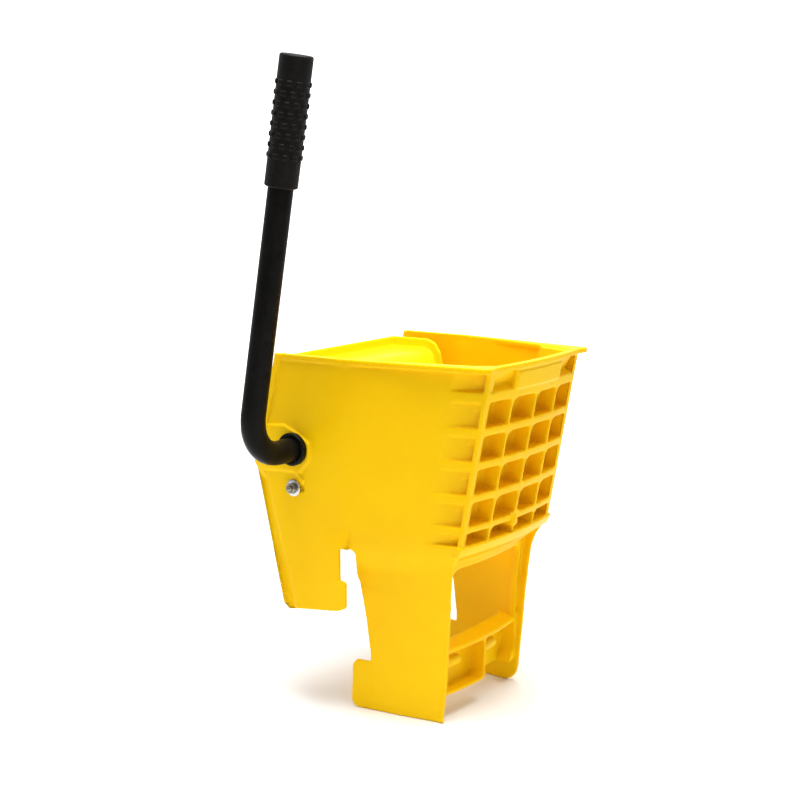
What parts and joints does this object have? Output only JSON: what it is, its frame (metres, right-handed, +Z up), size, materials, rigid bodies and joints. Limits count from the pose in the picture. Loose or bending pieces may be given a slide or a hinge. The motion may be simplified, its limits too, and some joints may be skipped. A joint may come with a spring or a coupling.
{
  "type": "mop wringer",
  "caption": "Side-press mop wringer: a plastic hopper with a ribbed front wall, a hinged press plate geared to a bent tube handle, and legs that hook over a bucket rim.",
  "frame": {"origin": "bottom centre of the bounding box, on the plane the front legs stand on", "axes": "+Z up, +X toward the ribbed front wall, -Y the side that carries the handle"},
  "size_m": [0.2808, 0.356, 0.6833],
  "materials": {
    "yellow_plastic": "fine satin moulded",
    "yellow_press_plastic": "fine satin moulded",
    "black_painted_steel": "satin powder coat",
    "black_grip_rubber": "matte, raised pads",
    "black_bushing_plastic": "satin",
    "black_gear_plastic": "satin",
    "zinc_steel": "bright zinc",
    "spring_steel": "plain"
  },
  "bodies": {
    "frame": {"hopper_body": "yellow_plastic", "bushing_near": "black_bushing_plastic", "bushing_far": "black_bushing_plastic", "cross_rod": "zinc_steel", "rod_washer_near": "zinc_steel", "rod_washer_far": "zinc_steel", "rod_nut_near": "zinc_steel", "rod_nut_far": "zinc_steel", "jaw_hinge_rod": "zinc_steel", "return_spring_near": "spring_steel", "return_spring_far": "spring_steel"},
    "handle": {"handle_tube": "black_painted_steel", "handle_grip": "black_grip_rubber", "pinion_near": "black_gear_plastic", "pinion_far": "black_gear_plastic", "pinion_pin_near": "zinc_steel", "pinion_pin_far": "zinc_steel", "shaft_washer": "zinc_steel", "cotter_pin": "zinc_steel"},
    "jaw": {"press_plate": "yellow_press_plastic", "gear_sector_near": "black_gear_plastic", "gear_sector_far": "black_gear_plastic", "sector_screw_near_1": "zinc_steel", "sector_screw_near_2": "zinc_steel", "sector_screw_far_1": "zinc_steel", "sector_screw_far_2": "zinc_steel"}
  },
  "joints": [
    {"name": "handle_pivot", "type": "hinge", "parent": "frame", "child": "handle", "pos_m": [-0.0851, 0.038, 0.2825], "axis": [0, 1, 0], "range_deg": [-85, 0]},
    {"name": "jaw_pivot", "type": "hinge", "parent": "frame", "child": "jaw", "pos_m": [0.0024, 0.038, 0.20038], "axis": [0, 1, 0], "range_deg": [0, 32.5], "stiffness_Nm_per_rad": 8, "springref_deg": -14.32, "deforming": ["return_spring_near", "return_spring_far"]}
  ],
  "couplings": [
    {"joint": "jaw_pivot", "follows": "handle_pivot", "ratio": -0.37931}
  ]
}
